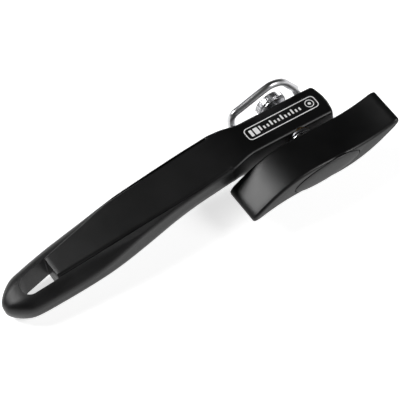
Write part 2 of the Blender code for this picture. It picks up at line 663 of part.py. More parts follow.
def main():
    clear_scene()
    parts = new_collection("can_opener")
    cutters = new_collection("can_opener_cutters")

    black_grip = new_material("grip_black", (0.016, 0.016, 0.017), 0.42)
    black_core = new_material("core_black", (0.013, 0.013, 0.014), 0.36)
    black_knob = new_material("knob_black", (0.018, 0.018, 0.019), 0.38)
    polished = new_material("polished_steel", (0.62, 0.62, 0.63), 0.16, 1.0)
    brushed = new_material("brushed_steel", (0.52, 0.52, 0.53), 0.34, 1.0)
    blade_steel = new_material("blade_steel", (0.56, 0.56, 0.58), 0.22, 1.0)
    spring_steel = new_material("spring_steel", (0.32, 0.32, 0.34), 0.38, 1.0)
    brass = new_material("bearing_brass", (0.66, 0.47, 0.2), 0.34, 1.0)

    # The eccentric's axis lies opposite the cutting wheel, so that at rest the wheels are closed.
    towards_cutter = Vector(CUTTER_PLACE).normalized()
    pivots = {"eccentric": tuple(-ECCENTRICITY * towards_cutter)}

    make_grip(parts, cutters, black_grip)
    make_core(parts, cutters, black_core, pivots)
    make_plate(parts, cutters, brushed, pivots)
    for place, centre in PLATE_SCREWS.items():
        make_plate_screw(place, centre, parts, cutters, polished)
    make_wire(parts, polished)
    make_bearings(parts, cutters, brass, brushed, pivots)
    make_spindle(parts, cutters, polished)
    make_feed_wheel(parts, cutters, polished)
    make_feed_fittings(parts, polished)
    make_friction_washers(parts, spring_steel, polished)
    make_knob_body(parts, cutters, black_knob)
    make_knob_insert(parts, cutters, spring_steel)
    make_knob_fixings(parts, brushed)
    make_knob_cap(parts, cutters, black_knob)
    make_cutter(parts, cutters, blade_steel, brass, polished)

    stand = bpy.data.objects.new("design_frame", None)
    parts.objects.link(stand)
    stand.location = metres(SHAFT_PLACE)
    stand.rotation_euler = (0.0, math.radians(-REST_TILT), 0.0)
    for piece in list(parts.objects) + list(cutters.objects):
        if piece is not stand:
            piece.parent = stand


main()
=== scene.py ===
import json
import math
import bmesh
import bpy
from mathutils import Matrix, Vector

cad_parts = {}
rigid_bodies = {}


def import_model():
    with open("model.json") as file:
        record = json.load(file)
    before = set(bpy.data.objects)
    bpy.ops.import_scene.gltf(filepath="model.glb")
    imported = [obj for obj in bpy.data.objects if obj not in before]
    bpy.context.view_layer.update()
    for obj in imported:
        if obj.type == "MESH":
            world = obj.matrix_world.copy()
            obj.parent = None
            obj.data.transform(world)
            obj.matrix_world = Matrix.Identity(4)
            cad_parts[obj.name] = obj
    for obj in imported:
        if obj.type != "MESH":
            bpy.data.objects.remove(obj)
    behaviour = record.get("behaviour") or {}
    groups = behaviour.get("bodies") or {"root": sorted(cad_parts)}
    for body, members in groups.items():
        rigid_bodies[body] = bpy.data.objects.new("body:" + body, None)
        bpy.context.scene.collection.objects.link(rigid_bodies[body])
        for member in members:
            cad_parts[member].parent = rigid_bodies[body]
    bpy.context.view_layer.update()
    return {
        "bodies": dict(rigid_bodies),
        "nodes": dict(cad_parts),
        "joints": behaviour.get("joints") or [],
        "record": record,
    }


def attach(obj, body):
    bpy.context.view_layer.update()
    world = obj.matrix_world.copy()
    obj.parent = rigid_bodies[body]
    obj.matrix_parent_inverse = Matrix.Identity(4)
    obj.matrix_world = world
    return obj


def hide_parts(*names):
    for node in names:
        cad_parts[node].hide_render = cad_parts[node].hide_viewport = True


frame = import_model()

mm = 0.001
restTilt = 5.0  # degrees that the handle rises towards the head
joints = {joint["name"]: joint for joint in frame["record"]["behaviour"]["joints"]}
spindleSpot = Vector(joints["knob_spin"]["pos_m"])

# The opener is drawn in millimetres round its spindle, lying level, then stood as it rests.
standing = Matrix.Translation(spindleSpot) @ Matrix.Rotation(math.radians(-restTilt), 4, "Y")


def levelSpot(jointName):
    # X and Z of a joint in the level drawing
    spot = standing.inverted() @ Vector(joints[jointName]["pos_m"]) / mm
    return spot.x, spot.z


spindleAxis = (0.0, 0.0)
pivotAxis = levelSpot("eccentric_turn")
cutterAxis = levelSpot("cutter_spin")
print("frame loaded, cutter axis", [round(v, 2) for v in cutterAxis])


# Finishes.

def newFinish(name):
    finish = bpy.data.materials.new(name)
    finish.use_nodes = True
    tree = finish.node_tree
    return finish, tree, tree.nodes["Principled BSDF"]


def addNode(tree, kind, **values):
    node = tree.nodes.new(kind)
    for name, value in values.items():
        if name in node.inputs:
            node.inputs[name].default_value = value
        else:
            setattr(node, name, value)
    return node


def spotsOn(tree, stretch=(1.0, 1.0, 1.0), centre=None, levelled=False):
    # object coordinates in millimetres, turned level or centred on an axis where asked
    place = addNode(tree, "ShaderNodeTexCoord")
    first = addNode(tree, "ShaderNodeMapping", vector_type="TEXTURE")
    if centre is not None:
        first.inputs["Location"].default_value = centre
    if levelled:
        first.inputs["Rotation"].default_value = (0.0, math.radians(-restTilt), 0.0)
    second = addNode(tree, "ShaderNodeMapping")
    second.inputs["Scale"].default_value = [1000.0 * s for s in stretch]
    tree.links.new(place.outputs["Object"], first.inputs["Vector"])
    tree.links.new(first.outputs["Vector"], second.inputs["Vector"])
    return second.outputs["Vector"]


def noiseOn(tree, spots, size, detail=3.0, rough=0.55):
    noise = addNode(tree, "ShaderNodeTexNoise", Scale=1.0 / size, Detail=detail, Roughness=rough)
    tree.links.new(spots, noise.inputs["Vector"])
    return noise.outputs["Fac"]


def spread(tree, source, low, high, fromLow=0.3, fromHigh=0.7):
    span = addNode(tree, "ShaderNodeMapRange")
    span.inputs["From Min"].default_value = fromLow
    span.inputs["From Max"].default_value = fromHigh
    span.inputs["To Min"].default_value = low
    span.inputs["To Max"].default_value = high
    tree.links.new(source, span.inputs["Value"])
    return span.outputs["Result"]


def tint(tree, amount, low, high):
    mix = addNode(tree, "ShaderNodeMix", data_type="RGBA")
    mix.inputs[6].default_value = (*low, 1.0)
    mix.inputs[7].default_value = (*high, 1.0)
    tree.links.new(amount, mix.inputs[0])
    return mix.outputs[2]


def reliefFrom(tree, shader, layers):
    # each layer is (height source, depth in millimetres), stacked into one bump chain
    normal = None
    for source, depth in layers:
        bump = addNode(tree, "ShaderNodeBump")
        bump.inputs["Distance"].default_value = depth * mm
        bump.inputs["Strength"].default_value = 1.0
        tree.links.new(source, bump.inputs["Height"])
        if normal is not None:
            tree.links.new(normal, bump.inputs["Normal"])
        normal = bump.outputs["Normal"]
    tree.links.new(normal, shader.inputs["Normal"])


def edgeOf(tree, low=0.52, high=0.6):
    # 0 on flat skin, 1 on sharp outer edges
    shape = addNode(tree, "ShaderNodeNewGeometry")
    return spread(tree, shape.outputs["Pointiness"], 0.0, 1.0, low, high)


def mouldedFinish(name, look):
    # spark-eroded black plastic: fine even grain, faint cloudiness, sharp edges painted lighter, partly
    # rubbed wear and partly a painted highlight
    finish, tree, shader = newFinish(name)
    spots = spotsOn(tree)
    cloud = noiseOn(tree, spots, look["cloudSize"], 4.0)
    grain = noiseOn(tree, spots, look["grainSize"], 2.0, 0.6)
    pits = addNode(tree, "ShaderNodeTexVoronoi", Scale=1.0 / look["pitSize"])
    tree.links.new(spots, pits.inputs["Vector"])
    pale = tuple(c * look["cloudLift"] for c in look["colour"])
    skin = tint(tree, spread(tree, cloud, 0.0, 1.0), look["colour"], pale)
    # sharp edges painted lighter: rubbed wear plus a painted edge highlight
    wornSheen = addNode(tree, "ShaderNodeMix", data_type="RGBA")
    wornSheen.inputs[7].default_value = (*look["wornSheenColour"], 1.0)
    tree.links.new(skin, wornSheen.inputs[6])
    edges = addNode(tree, "ShaderNodeMath", operation="MULTIPLY")
    edges.inputs[1].default_value = look["wornSheen"]
    tree.links.new(edgeOf(tree), edges.inputs[0])
    tree.links.new(edges.outputs[0], wornSheen.inputs[0])
    tree.links.new(wornSheen.outputs[2], shader.inputs["Base Color"])
    gloss = spread(tree, cloud, look["roughness"] - 0.04, look["roughness"] + 0.05)
    tree.links.new(gloss, shader.inputs["Roughness"])
    shader.inputs["Specular IOR Level"].default_value = look["specular"]
    reliefFrom(tree, shader, [(grain, look["grainDepth"]), (pits.outputs["Distance"], look["pitDepth"])])
    return finish


def drawnFinish(name, look):
    # polished drawn wire and turned bright parts: near mirror with hair scratches and a faint haze
    finish, tree, shader = newFinish(name)
    spots = spotsOn(tree, look["stretch"], levelled=True)
    hairs = noiseOn(tree, spots, look["hairSize"], 5.0, 0.65)
    haze = noiseOn(tree, spotsOn(tree), look["hazeSize"], 3.0)
    tree.links.new(tint(tree, spread(tree, haze, 0.0, 1.0), look["colour"], look["hazeColour"]),
                   shader.inputs["Base Color"])
    tree.links.new(spread(tree, haze, look["roughness"] - 0.03, look["roughness"] + 0.07),
                   shader.inputs["Roughness"])
    shader.inputs["Metallic"].default_value = 1.0
    reliefFrom(tree, shader, [(hairs, look["hairDepth"])])
    return finish


def lathedFinish(name, centre, look):
    # rings left by the lathe or the grinder round an axis along Y
    finish, tree, shader = newFinish(name)
    place = addNode(tree, "ShaderNodeTexCoord")
    shift = addNode(tree, "ShaderNodeVectorMath", operation="SUBTRACT")
    shift.inputs[1].default_value = centre
    flat = addNode(tree, "ShaderNodeVectorMath", operation="MULTIPLY")
    flat.inputs[1].default_value = (1000.0, 0.0, 1000.0)
    reach = addNode(tree, "ShaderNodeVectorMath", operation="LENGTH")
    ringSpot = addNode(tree, "ShaderNodeCombineXYZ")
    tree.links.new(place.outputs["Object"], shift.inputs[0])
    tree.links.new(shift.outputs["Vector"], flat.inputs[0])
    tree.links.new(flat.outputs["Vector"], reach.inputs[0])
    tree.links.new(reach.outputs["Value"], ringSpot.inputs["X"])
    rings = noiseOn(tree, ringSpot.outputs["Vector"], look["ringSize"], 4.0, 0.7)
    haze = noiseOn(tree, spotsOn(tree), look["hazeSize"], 3.0)
    tree.links.new(tint(tree, spread(tree, rings, 0.0, 1.0), look["colour"], look["ringColour"]),
                   shader.inputs["Base Color"])
    tree.links.new(spread(tree, haze, look["roughness"] - 0.05, look["roughness"] + 0.08),
                   shader.inputs["Roughness"])
    shader.inputs["Metallic"].default_value = 1.0
    reliefFrom(tree, shader, [(rings, look["ringDepth"])])
    return finish


def printFinish(name, look):
    # thin screen-printed ink, slightly uneven at its edges
    finish, tree, shader = newFinish(name)
    wear = noiseOn(tree, spotsOn(tree), look["wearSize"], 4.0, 0.7)
    tree.links.new(tint(tree, spread(tree, wear, 0.0, 1.0, 0.55, 0.8), look["colour"], look["wornColour"]),
                   shader.inputs["Base Color"])
    tree.links.new(spread(tree, wear, 0.45, 0.6), shader.inputs["Roughness"])
    reliefFrom(tree, shader, [(wear, 0.01)])
    return finish


# each look's lighter edge colour and its share paint sharp edges lighter: rubbed wear plus a painted
# highlight
gripLook = dict(
    colour=(0.0035, 0.0035, 0.0037), cloudLift=1.5, cloudSize=26.0, wornSheenColour=(0.02, 0.02, 0.021),
    wornSheen=0.5, roughness=0.42, specular=0.4, grainSize=0.28, grainDepth=0.035, pitSize=0.6, pitDepth=0.012,
)
coreLook = dict(
    colour=(0.003, 0.003, 0.0032), cloudLift=1.35, cloudSize=34.0, wornSheenColour=(0.018, 0.018, 0.019),
    wornSheen=0.5, roughness=0.38, specular=0.4, grainSize=0.22, grainDepth=0.02, pitSize=0.5, pitDepth=0.006,
)
knobLook = dict(
    colour=(0.0038, 0.0038, 0.004), cloudLift=1.45, cloudSize=22.0, wornSheenColour=(0.022, 0.022, 0.023),
    wornSheen=0.55, roughness=0.38, specular=0.42, grainSize=0.24, grainDepth=0.024, pitSize=0.5, pitDepth=0.008,
)
capLook = dict(knobLook, colour=(0.0048, 0.0048, 0.005), roughness=0.36, grainDepth=0.014)
wireLook = dict(
    colour=(0.62, 0.62, 0.63), hazeColour=(0.52, 0.52, 0.53), roughness=0.3, stretch=(0.12, 1.0, 0.4),
    hairSize=0.25, hairDepth=0.001, hazeSize=9.0,
)
plateLook = dict(
    colour=(0.6, 0.6, 0.61), hazeColour=(0.48, 0.48, 0.49), roughness=0.3, stretch=(0.04, 1.0, 1.0),
    hairSize=0.16, hairDepth=0.005, hazeSize=12.0,
)
brightLook = dict(
    colour=(0.68, 0.68, 0.69), ringColour=(0.56, 0.56, 0.57), roughness=0.24, ringSize=0.12, ringDepth=0.0015,
    hazeSize=5.0,
)
bladeLook = dict(
    colour=(0.63, 0.63, 0.65), ringColour=(0.47, 0.47, 0.49), roughness=0.2, ringSize=0.09, ringDepth=0.004,
    hazeSize=4.0,
)
darkLook = dict(
    colour=(0.33, 0.33, 0.34), ringColour=(0.22, 0.22, 0.23), roughness=0.36, ringSize=0.2, ringDepth=0.004,
    hazeSize=4.0,
)
brassLook = dict(
    colour=(0.42, 0.29, 0.14), ringColour=(0.3, 0.2, 0.09), roughness=0.32, ringSize=0.15, ringDepth=0.003,
    hazeSize=5.0,
)
inkLook = dict(colour=(0.92, 0.92, 0.92), wornColour=(0.78, 0.78, 0.78), wearSize=0.6)

spindlePoint = tuple(spindleSpot)
cutterPoint = tuple(joints["cutter_spin"]["pos_m"])
softGrip = mouldedFinish("softGrip", gripLook)
satinCore = mouldedFinish("satinCore", coreLook)
satinKnob = mouldedFinish("satinKnob", knobLook)
satinCap = mouldedFinish("satinCap", capLook)
polishedWire = drawnFinish("polishedWire", wireLook)
brushedPlate = drawnFinish("brushedPlate", plateLook)
brightSteel = lathedFinish("brightSteel", spindlePoint, brightLook)
brightCutterSteel = lathedFinish("brightCutterSteel", cutterPoint, brightLook)
bladeSteel = lathedFinish("bladeSteel", cutterPoint, bladeLook)
darkSteel = lathedFinish("darkSteel", spindlePoint, darkLook)
bushBrass = lathedFinish("bushBrass", spindlePoint, brassLook)
cutterBrass = lathedFinish("cutterBrass", cutterPoint, brassLook)
whiteInk = printFinish("whiteInk", inkLook)
print("finishes made")


# Drawing helpers.

helpers = []  # cutting shapes, removed once everything is cut


def mixed(low, high, share):
    return low + (high - low) * share


def evenly(start, stop, gap):
    count = max(1, math.ceil(abs(stop - start) / gap))
    return [start + (stop - start) * i / count for i in range(count + 1)]


def between(line, x):
    # value at x on a line of (x, value) points, smooth and never overshooting them
    if x <= line[0][0]:
        return line[0][1]
    rises = [(vb - va) / (xb - xa) for (xa, va), (xb, vb) in zip(line, line[1:])]
    slopes = [2.0 * a * b / (a + b) if a * b > 0.0 else 0.0 for a, b in zip(rises, rises[1:])]
    slopes = [1.5 * rises[0] - 0.5 * slopes[0] if slopes else 0.0, *slopes, 0.0]
    for i, ((xa, va), (xb, vb)) in enumerate(zip(line, line[1:])):
        if x <= xb:
            t = (x - xa) / (xb - xa)
            lean = slopes[i] * t * (1.0 - t) ** 2 - slopes[i + 1] * t * t * (1.0 - t)
            return va + (vb - va) * t * t * (3.0 - 2.0 * t) + (xb - xa) * lean
    return line[-1][1]


def turned2d(point, degrees):
    c, s = math.cos(math.radians(degrees)), math.sin(math.radians(degrees))
    return point[0] * c - point[1] * s, point[0] * s + point[1] * c


def disc(radius, count, centre=(0.0, 0.0)):
    angles = [2.0 * math.pi * i / count for i in range(count)]
    return [(centre[0] + radius * math.cos(a), centre[1] + radius * math.sin(a)) for a in angles]


def softCorners(corners, radii, steps=8):
    outline = []
    for i, (corner, radius) in enumerate(zip(corners, radii)):
        here = Vector(corner)
        back = (Vector(corners[i - 1]) - here).normalized()
        ahead = (Vector(corners[(i + 1) % len(corners)]) - here).normalized()
        half = back.angle(ahead) / 2.0
        centre = here + (back + ahead).normalized() * (radius / math.sin(half))
        reach = radius / math.tan(half)
        first = (here + back * reach - centre).normalized()
        last = (here + ahead * reach - centre).normalized()
        for k in range(steps + 1):
            outline.append(tuple(centre + first.slerp(last, k / steps) * radius))
    return outline


def linkUp(name, mesh):
    thing = bpy.data.objects.new(name, mesh)
    bpy.context.scene.collection.objects.link(thing)
    return thing


def meshFrom(name, shape):
    bmesh.ops.recalc_face_normals(shape, faces=shape.faces)
    mesh = bpy.data.meshes.new(name)
    shape.to_mesh(mesh)
    shape.free()
    return mesh


def skinned(name, rings):
    # a closed skin over rings that all have the same number of points
    shape = bmesh.new()
    rows = [[shape.verts.new(Vector(p) * mm) for p in ring] for ring in rings]
    count = len(rows[0])
    for near, far in zip(rows, rows[1:]):
        for i in range(count):
            j = (i + 1) % count
            shape.faces.new((near[i], near[j], far[j], far[i]))
    shape.faces.new(reversed(rows[0]))
    shape.faces.new(rows[-1])
    return linkUp(name, meshFrom(name, shape))


def slabOf(name, outline, near, far):
    return skinned(name, [[(x, y, z) for x, z in outline] for y in (near, far)])


def lathe(name, profile, centre=(0.0, 0.0), steps=96):
    # a closed (radius, y) profile turned about the Y axis through centre
    mesh = bpy.data.meshes.new(name)
    shape = bmesh.new()
    verts = [shape.verts.new(Vector((radius, 0.0, y)) * mm) for radius, y in profile]
    for near, far in zip(verts, verts[1:]):
        shape.edges.new((near, far))
    if profile[0][0] > 0.0:
        shape.edges.new((verts[-1], verts[0]))
    shape.to_mesh(mesh)
    shape.free()
    thing = linkUp(name, mesh)
    thing.rotation_euler = (math.radians(-90.0), 0.0, 0.0)
    thing.location = Vector((centre[0], 0.0, centre[1])) * mm
    screw = thing.modifiers.new("turn", "SCREW")
    screw.axis = "Z"
    screw.steps = steps
    screw.render_steps = steps
    screw.use_merge_vertices = True
    screw.merge_threshold = 0.000005
    return thing


def rod(name, radius, near, far, centre=(0.0, 0.0), steps=64):
    return lathe(name, [(0.0, far), (radius, far), (radius, near), (0.0, near)], centre, steps)


def cutAway(thing, *cutters):
    for cutter in cutters:
        helpers.append(cutter)
        step = thing.modifiers.new("cut", "BOOLEAN")
        step.operation = "DIFFERENCE"
        step.solver = "EXACT"
        step.object = cutter


def softenEdges(thing, width, segments=2, angle=30.0):
    bevel = thing.modifiers.new("soften", "BEVEL")
    bevel.width = width * mm
    bevel.segments = segments
    bevel.limit_method = "ANGLE"
    bevel.angle_limit = math.radians(angle)
    bevel.use_clamp_overlap = True


def settled(thing, finish, smoothAngle=32.0):
    # turns a drawn piece into a plain mesh that stands where the opener rests
    bpy.context.view_layer.update()
    graph = bpy.context.evaluated_depsgraph_get()
    mesh = bpy.data.meshes.new_from_object(thing.evaluated_get(graph))
    mesh.transform(standing @ thing.matrix_world)
    tidyUp = bmesh.new()
    tidyUp.from_mesh(mesh)
    bmesh.ops.remove_doubles(tidyUp, verts=tidyUp.verts, dist=0.000002)
    bmesh.ops.dissolve_degenerate(tidyUp, dist=0.000001, edges=tidyUp.edges)
    bmesh.ops.recalc_face_normals(tidyUp, faces=tidyUp.faces)
    tidyUp.to_mesh(mesh)
    tidyUp.free()
    mesh.materials.clear()
    mesh.materials.append(finish)
    mesh.shade_smooth()
    mesh.set_sharp_from_angle(angle=math.radians(smoothAngle))
    piece = linkUp(thing.name, mesh)
    name = thing.name
    bpy.data.objects.remove(thing, do_unlink=True)
    piece.name = name
    return piece


def fitted(piece, body, slotName, *nodes):
    if nodes:
        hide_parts(*nodes)
    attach(piece, body)
    return piece


# Repeats: one tree sets items round a ring, the other sets them on given points.

def newTree(name, inputs):
    tree = bpy.data.node_groups.new(name, "GeometryNodeTree")
    tree.interface.new_socket("Geometry", in_out="INPUT", socket_type="NodeSocketGeometry")
    for label, kind in inputs:
        tree.interface.new_socket(label, in_out="INPUT", socket_type=kind)
    tree.interface.new_socket("Geometry", in_out="OUTPUT", socket_type="NodeSocketGeometry")
    return tree, tree.nodes.new("NodeGroupInput"), tree.nodes.new("NodeGroupOutput")


def placeItems(tree, given, out, points):
    # an item on every point, each turned a step further about Z, made real and given its finish
    link = tree.links.new
    item = tree.nodes.new("GeometryNodeObjectInfo")
    index = tree.nodes.new("GeometryNodeInputIndex")
    step = tree.nodes.new("ShaderNodeMath")
    step.operation = "MULTIPLY"
    turn = tree.nodes.new("ShaderNodeCombineXYZ")
    place = tree.nodes.new("GeometryNodeInstanceOnPoints")
    real = tree.nodes.new("GeometryNodeRealizeInstances")
    coat = tree.nodes.new("GeometryNodeSetMaterial")
    link(given.outputs["Item"], item.inputs["Object"])
    link(index.outputs["Index"], step.inputs[0])
    link(given.outputs["Turn step"], step.inputs[1])
    link(step.outputs[0], turn.inputs["Z"])
    link(points, place.inputs["Points"])
    link(item.outputs["Geometry"], place.inputs["Instance"])
    link(turn.outputs[0], place.inputs["Rotation"])
    link(place.outputs["Instances"], real.inputs["Geometry"])
    link(real.outputs["Geometry"], coat.inputs["Geometry"])
    link(given.outputs["Finish"], coat.inputs["Material"])
    link(coat.outputs["Geometry"], out.inputs["Geometry"])


def ringTree():
    tree, given, out = newTree("itemsRoundRing", [
        ("Item", "NodeSocketObject"), ("Count", "NodeSocketInt"), ("Radius", "NodeSocketFloat"),
        ("Turn step", "NodeSocketFloat"), ("Finish", "NodeSocketMaterial")])
    ringPoints = tree.nodes.new("GeometryNodeMeshCircle")
    tree.links.new(given.outputs["Count"], ringPoints.inputs["Vertices"])
    tree.links.new(given.outputs["Radius"], ringPoints.inputs["Radius"])
    placeItems(tree, given, out, ringPoints.outputs["Mesh"])
    return tree


def pointTree():
    tree, given, out = newTree("itemsOnPoints", [
        ("Item", "NodeSocketObject"), ("Turn step", "NodeSocketFloat"), ("Finish", "NodeSocketMaterial")])
    placeItems(tree, given, out, given.outputs["Geometry"])
    return tree


def growFrom(name, tree, points, values):
    # the tree's result on these starting points, as a plain mesh lying in the XY plane
    mesh = bpy.data.meshes.new(name)
    mesh.from_pydata([tuple(Vector(p) * mm) for p in points], [], [])
    seed = linkUp(name + "Seed", mesh)
    grow = seed.modifiers.new("grow", "NODES")
    grow.node_group = tree
    for socket in tree.interface.items_tree:
        if socket.in_out == "INPUT" and socket.name in values:
            grow[socket.identifier] = values[socket.name]
    bpy.context.view_layer.update()
    graph = bpy.context.evaluated_depsgraph_get()
    grown = bpy.data.meshes.new_from_object(seed.evaluated_get(graph))
    seed.modifiers.remove(grow)
    bpy.data.objects.remove(seed, do_unlink=True)
    thing = linkUp(name, grown)
    thing.rotation_euler = (math.radians(-90.0), 0.0, 0.0)  # ring plane XY becomes XZ
    return thing


# Handle: soft grip, hard core and head in one sweep. Lines are (x, value) points, read with between.

handleShape = dict(
    tail=-176.8, tailRound=12.0, neck=-42.0, gap=0.3,
    slotEnd=-146.0, slotLength=18.8, slotFront=-9.2, slotBack=5.2, slotRounds=(0.4, 0.4, 6.0, 5.0),
    topHeight=10.6, topRise=0.026, topBlend=0.8, labelHeight=8.0, labelSlope=10.0,
    headFront=-11.0, headBack=9.0, headTip=24.4, headEdge=2.0, headBow=1.5, bowReach=8.0,
    chinStart=6.0, chinRise=13.0,
    gripFront=((-177, -10.0), (-162, -15.4), (-124, -17.2), (-98, -15.4), (-73, -13.8), (-42, -13.3)),
    gripBack=((-177, 3.0), (-162, 9.2), (-124, 13.2), (-98, 13.4), (-60, 13.1), (-42, 12.7)),
    gripBottom=((-110, -8.8), (-60, -6.0)), gripRound=((-110, 9.0), (-60, 12.0)),
    tailBand=((-135, 1.0), (-95, 0.0)), corePride=((-114, 1.0), (-56, 0.0)),
    coreFront=((-147, -8.6), (-124, -9.6), (-98, -10.6), (-65, -12.0), (-42, -12.2)),
    coreBack=((-147, 4.6), (-124, 8.4), (-100, 11.9), (-60, 11.8), (-42, 11.4)),
    neckFront=((-42, -13.3), (-26, -11.0)), neckBack=((-42, 12.7), (-34, 11.4), (-23, 9.0)),
    headDrop=((-40, 0.0), (-13, 1.0)),
    coreLowRound=(4.0, 6.0), coreHighRound=(1.6, 1.2), headHighRound=(1.8, 1.4),
    ringGap=2.6, headRingGap=1.4, gripEdge=0.35, coreEdge=0.22,
)


def floorLine(x):
    # height of the table under the level drawing
    tilt = math.radians(restTilt)
    return (-spindleSpot.z / mm - x * math.sin(tilt)) / math.cos(tilt)


def topLine(x):
    # the label's slope and the handle's line, blended where they meet
    h = handleShape
    label = h["labelHeight"] - math.tan(math.radians(h["labelSlope"])) * x
    along = h["topHeight"] + h["topRise"] * (x - h["slotEnd"])
    blend = h["topBlend"]
    return min(label, along) - blend * math.log1p(math.exp(-abs(label - along) / blend))


def crossSection(x, front, back, bottom, top, lowRound, highRound, steps=10):
    # a rounded box across the handle; each round is (width, height)
    corners = (
        (back, bottom, -1.0, 1.0, lowRound, -90.0),
        (back, top, -1.0, -1.0, highRound, 0.0),
        (front, top, 1.0, -1.0, highRound, 90.0),
        (front, bottom, 1.0, 1.0, lowRound, 180.0),
    )
    points = []
    for y, z, inY, inZ, (wide, high), start in corners:
        for k in range(steps + 1):
            a = math.radians(start + 90.0 * k / steps)
            points.append((x, y + wide * (inY + math.cos(a)), z + high * (inZ + math.sin(a))))
    # extra points on the flats keep their shading flat
    ring = []
    for i, point in enumerate(points):
        ring.append(point)
        if i % (steps + 1) == steps:
            here, ahead = Vector(point), Vector(points[(i + 1) % len(points)])
            ring += [tuple(here.lerp(ahead, t)) for t in (0.05, 0.35, 0.65, 0.95)]
    return ring


def drawnIn(points, factor):
    middle = sum((Vector(p) for p in points), Vector()) / len(points)
    return [tuple(middle + (Vector(p) - middle) * factor) for p in points]


def gripSection(x):
    h = handleShape
    front, back = between(h["gripFront"], x), between(h["gripBack"], x)
    half = (back - front) / 2.0
    band = between(h["tailBand"], x)
    lowRound = (half * 0.86, between(h["gripRound"], x))
    highRound = (mixed(1.2, half * 0.7, band), mixed(2.2, 6.5, band))
    bottom = max(between(h["gripBottom"], x), floorLine(x))
    top = topLine(x) - between(h["corePride"], x)
    return crossSection(x, front, back, bottom, top, lowRound, highRound)


def coreSection(x, gap=0.0, headroom=0.0):
    h = handleShape
    front, back = between(h["coreFront"], x) - gap, between(h["coreBack"], x) + gap
    return crossSection(x, front, back, -gap, topLine(x) + headroom, h["coreLowRound"], h["coreHighRound"])


def headSection(x, inset=0.0):
    h = handleShape
    front, back = between(h["neckFront"], x) + inset, between(h["neckBack"], x) - inset
    drop = between(h["headDrop"], x)
    chin = max(0.0, x - h["chinStart"]) / (h["headTip"] - h["chinStart"])
    bottom = mixed(between(h["gripBottom"], x), floorLine(x), drop) + inset
    bottom += h["chinRise"] * (1.0 - math.sqrt(1.0 - 0.98 * chin * chin))
    lowRound = (mixed(11.0, 2.4, drop), mixed(11.5, 2.4, drop))
    points = crossSection(x, front, back, bottom, topLine(x) - inset, lowRound, h["headHighRound"])
    bow = h["headBow"] * max(0.0, 1.0 - (h["headTip"] - x) / h["bowReach"])
    half = (back - front) / 2.0
    return [(px - bow * ((py - front - half) / half) ** 2, py, pz) for px, py, pz in points]


def makeGrip():
    h = handleShape
    rings = []
    for a in evenly(10.0, 90.0, 5.0):
        x = h["tail"] + h["tailRound"] * (1.0 - math.cos(math.radians(a)))
        rings.append(drawnIn(gripSection(x), math.sin(math.radians(a)) ** 0.7))
    straight = evenly(h["tail"] + h["tailRound"] + 1.5, h["neck"], h["ringGap"])
    rings += [gripSection(x) for x in straight]
    grip = skinned("handleGrip", rings)
    channelRun = evenly(h["slotEnd"] - 1.0, h["neck"] + 1.0, h["ringGap"])
    channel = skinned("channel", [coreSection(x, h["gap"], headroom=8.0) for x in channelRun])
    end, nose = h["slotEnd"], h["slotEnd"] - h["slotLength"]
    corners = ((end, h["slotFront"]), (end, h["slotBack"]), (nose, h["slotBack"] - 3.0),
               (nose, h["slotFront"] + 0.6))
    outline = softCorners(corners, h["slotRounds"])
    slot = skinned("slot", [[(x, y, z) for x, y in outline] for z in (-20.0, 20.0)])
    cutAway(grip, channel, slot)
    softenEdges(grip, h["gripEdge"], 3, 38.0)
    return settled(grip, softGrip, 40.0)


def makeCore():
    h = handleShape
    edge = h["headEdge"]
    rings = [coreSection(x) for x in evenly(h["slotEnd"], h["neck"] + 0.5 * h["gap"], h["ringGap"])]
    headRun = evenly(h["neck"] + h["gap"], h["headTip"] - edge - 0.4, h["headRingGap"])
    rings += [headSection(x) for x in headRun]
    for a in evenly(0.0, 90.0, 15.0):
        inset = edge * (1.0 - math.cos(math.radians(a)))
        rings.append(headSection(h["headTip"] - edge * (1.0 - math.sin(math.radians(a))), inset))
    core = skinned("handleCore", rings)
    front, back = h["headFront"], h["headBack"]
    pocket = slabOf("pocket", plateOutline(0.2), back - plateShape["thick"] - 0.05, back + 2.0)
    bore = rod("linerBore", linerShape["radius"] + 0.05, front - 2.0, back + 1.0, pivotAxis)
    rim = rod("linerRim", linerShape["rim"] + 0.1, front - 2.0, front + 1.05, pivotAxis)
    cutAway(core, pocket, bore, rim)
    softenEdges(core, h["coreEdge"], 2, 42.0)
    return settled(core, satinCore, 40.0)


# Back plate, its screws and the wire guard. Outlines are (X, Z) points.

plateShape = dict(
    corners=((-27.6, -5.0), (-27.6, 8.0), (20.4, 1.0), (20.4, -9.0), (11.5, -19.6), (-8.0, -19.6)),
    rounds=(3.0, 3.0, 3.0, 4.0, 5.0, 6.0), thick=1.5, edge=0.14, bushHole=4.86, axleHole=2.6, wireHole=2.1,
)
plateScrew = dict(
    spots=((14.2, -8.6), (-18.5, -6.6), (-17.6, 2.4)), head=2.75, shank=1.4, sinkTop=4.35, sinkFoot=1.6,
    crossLength=3.1, crossWidth=0.62, crossDepth=0.9, turnStep=0.65,
)
wireShape = dict(
    radius=2.0, plane=14.5, seat=3.0, corner=3.4,
    route=((-24.4, -1.6), (-24.3, 7.4), (-22.3, 12.6), (-16.6, 14.2), (-3.0, 17.2), (2.6, 17.3), (8.6, 13.9),
           (12.6, 7.0), (15.0, 2.4), (15.8, -2.2)),
)


def plateOutline(grow):
    corners = [Vector(c) for c in plateShape["corners"]]
    middle = sum(corners, Vector((0.0, 0.0))) / len(corners)
    moved = [tuple(c + (c - middle).normalized() * grow * 1.3) for c in corners]
    return softCorners(moved, plateShape["rounds"])


